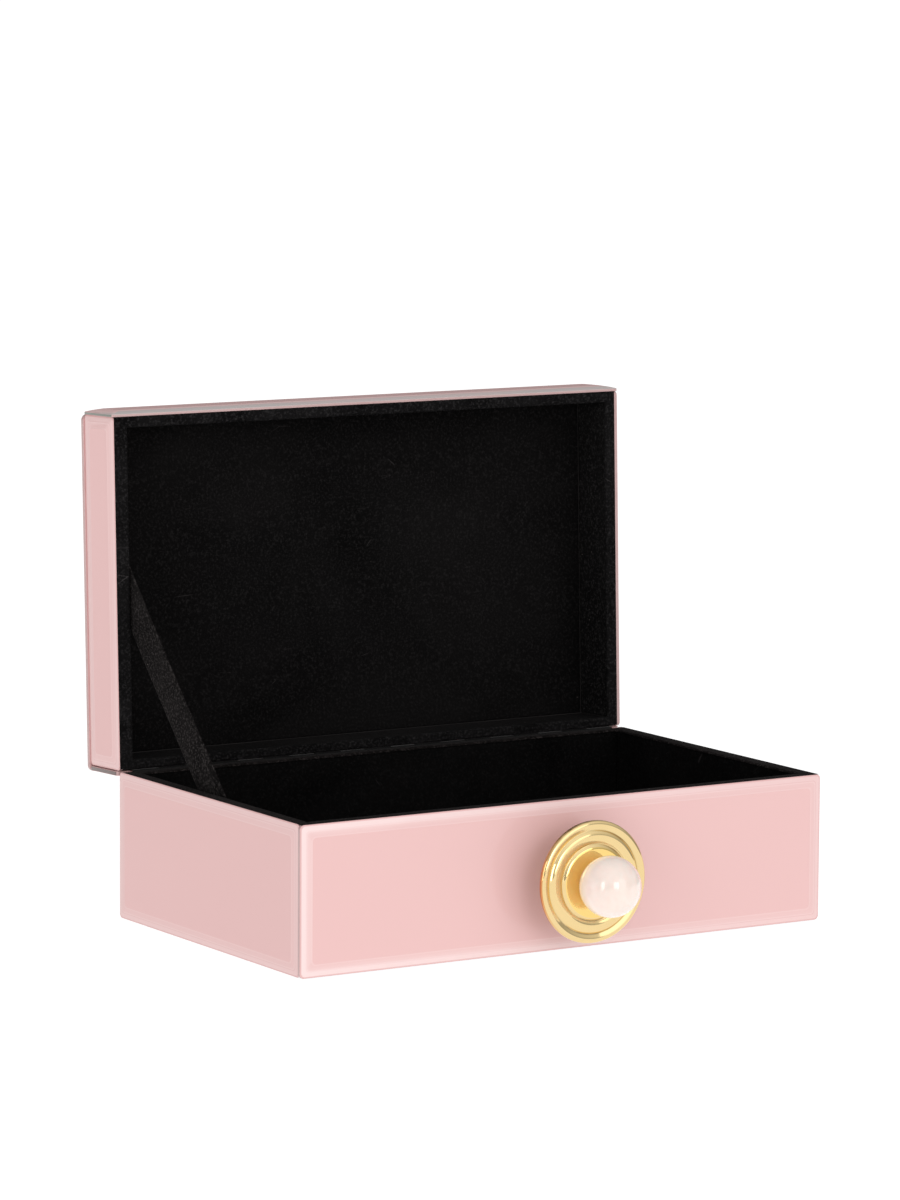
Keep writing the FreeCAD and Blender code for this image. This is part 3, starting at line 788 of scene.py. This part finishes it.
def softbox(name, azimuth, elevation, distance, width, height, radiance):
    """A soft light, seen from the pull in that direction and turned towards it."""
    outward = direction(azimuth, elevation)
    light = bpy.data.lights.new(name, "AREA")
    light.shape = "RECTANGLE"
    light.size, light.size_y = width, height
    light.energy = radiance * math.pi * width * height
    item = bpy.data.objects.new(name, light)
    bpy.context.scene.collection.objects.link(item)
    item.location = KNOB + outward * distance
    item.rotation_euler = outward.to_track_quat("Z", "Y").to_euler()


FRONT_TO_BACK = ((0.0, 0.54), (1.0, 0.10))
FLOOR_TO_CEILING = ((0.55, 1.0), (0.95, 2.6))


def surroundings():
    """A soft studio, brighter in front of the box than behind it, and brightest overhead."""
    world = bpy.data.worlds.new("studio")
    bpy.context.scene.world = world
    world.use_nodes = True
    tree = world.node_tree
    background = tree.nodes["Background"]
    coordinates = tree.nodes.new("ShaderNodeTexCoord")
    looking = tree.nodes.new("ShaderNodeSeparateXYZ")
    tree.links.new(coordinates.outputs["Generated"], looking.inputs[0])
    shades = []
    for axis, stops in (("Y", FRONT_TO_BACK), ("Z", FLOOR_TO_CEILING)):
        shift = tree.nodes.new("ShaderNodeMath")  # from -1 and 1 to 0 and 1
        shift.operation = "MULTIPLY_ADD"
        shift.inputs[1].default_value = 0.5
        shift.inputs[2].default_value = 0.5
        tree.links.new(looking.outputs[axis], shift.inputs[0])
        fade = tree.nodes.new("ShaderNodeValToRGB")
        for stop, (position, value) in zip(fade.color_ramp.elements, stops):
            stop.position = position
            stop.color = (value, value, value, 1.0)
        tree.links.new(shift.outputs[0], fade.inputs["Fac"])
        shades.append(fade.outputs["Color"])
    product = tree.nodes.new("ShaderNodeMix")
    product.data_type = "RGBA"
    product.blend_type = "MULTIPLY"
    product.inputs[0].default_value = 1.0
    tree.links.new(shades[0], product.inputs[6])
    tree.links.new(shades[1], product.inputs[7])
    tree.links.new(product.outputs[2], background.inputs["Color"])


LENS = 163.66
CAMERA_AZIMUTH, CAMERA_ELEVATION, CAMERA_ROLL = -31.93, 7.50, 0.36
CAMERA_DISTANCE = 2.6960
CAMERA_TARGET = Vector((-0.0124, 0.0, 0.16168))


def camera():
    """A long lens, so that the box's sides hardly taper."""
    back = direction(CAMERA_AZIMUTH, CAMERA_ELEVATION)
    data = bpy.data.cameras.new("camera")
    data.lens = LENS
    data.clip_start, data.clip_end = 0.05, 60.0
    item = bpy.data.objects.new("camera", data)
    bpy.context.scene.collection.objects.link(item)
    aimed = back.to_track_quat("Z", "Y").to_matrix().to_4x4()
    rolled = Matrix.Rotation(math.radians(CAMERA_ROLL), 4, "Z")
    item.matrix_world = Matrix.Translation(CAMERA_TARGET + back * CAMERA_DISTANCE) @ aimed @ rolled
    bpy.context.scene.camera = item


floor()
surroundings()
softbox("left_window", -61, 6, 2.6, 0.66, 1.9, 2.9)
softbox("left_fill", -105, 8, 2.6, 2.0, 1.6, 0.76)
softbox("front_window", -10, 14, 2.6, 0.85, 1.10, 2.9)
softbox("right_key", 15, 16, 2.4, 1.2, 1.4, 0.95)
camera()
bpy.context.scene.view_settings.view_transform = "Standard"

low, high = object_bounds()
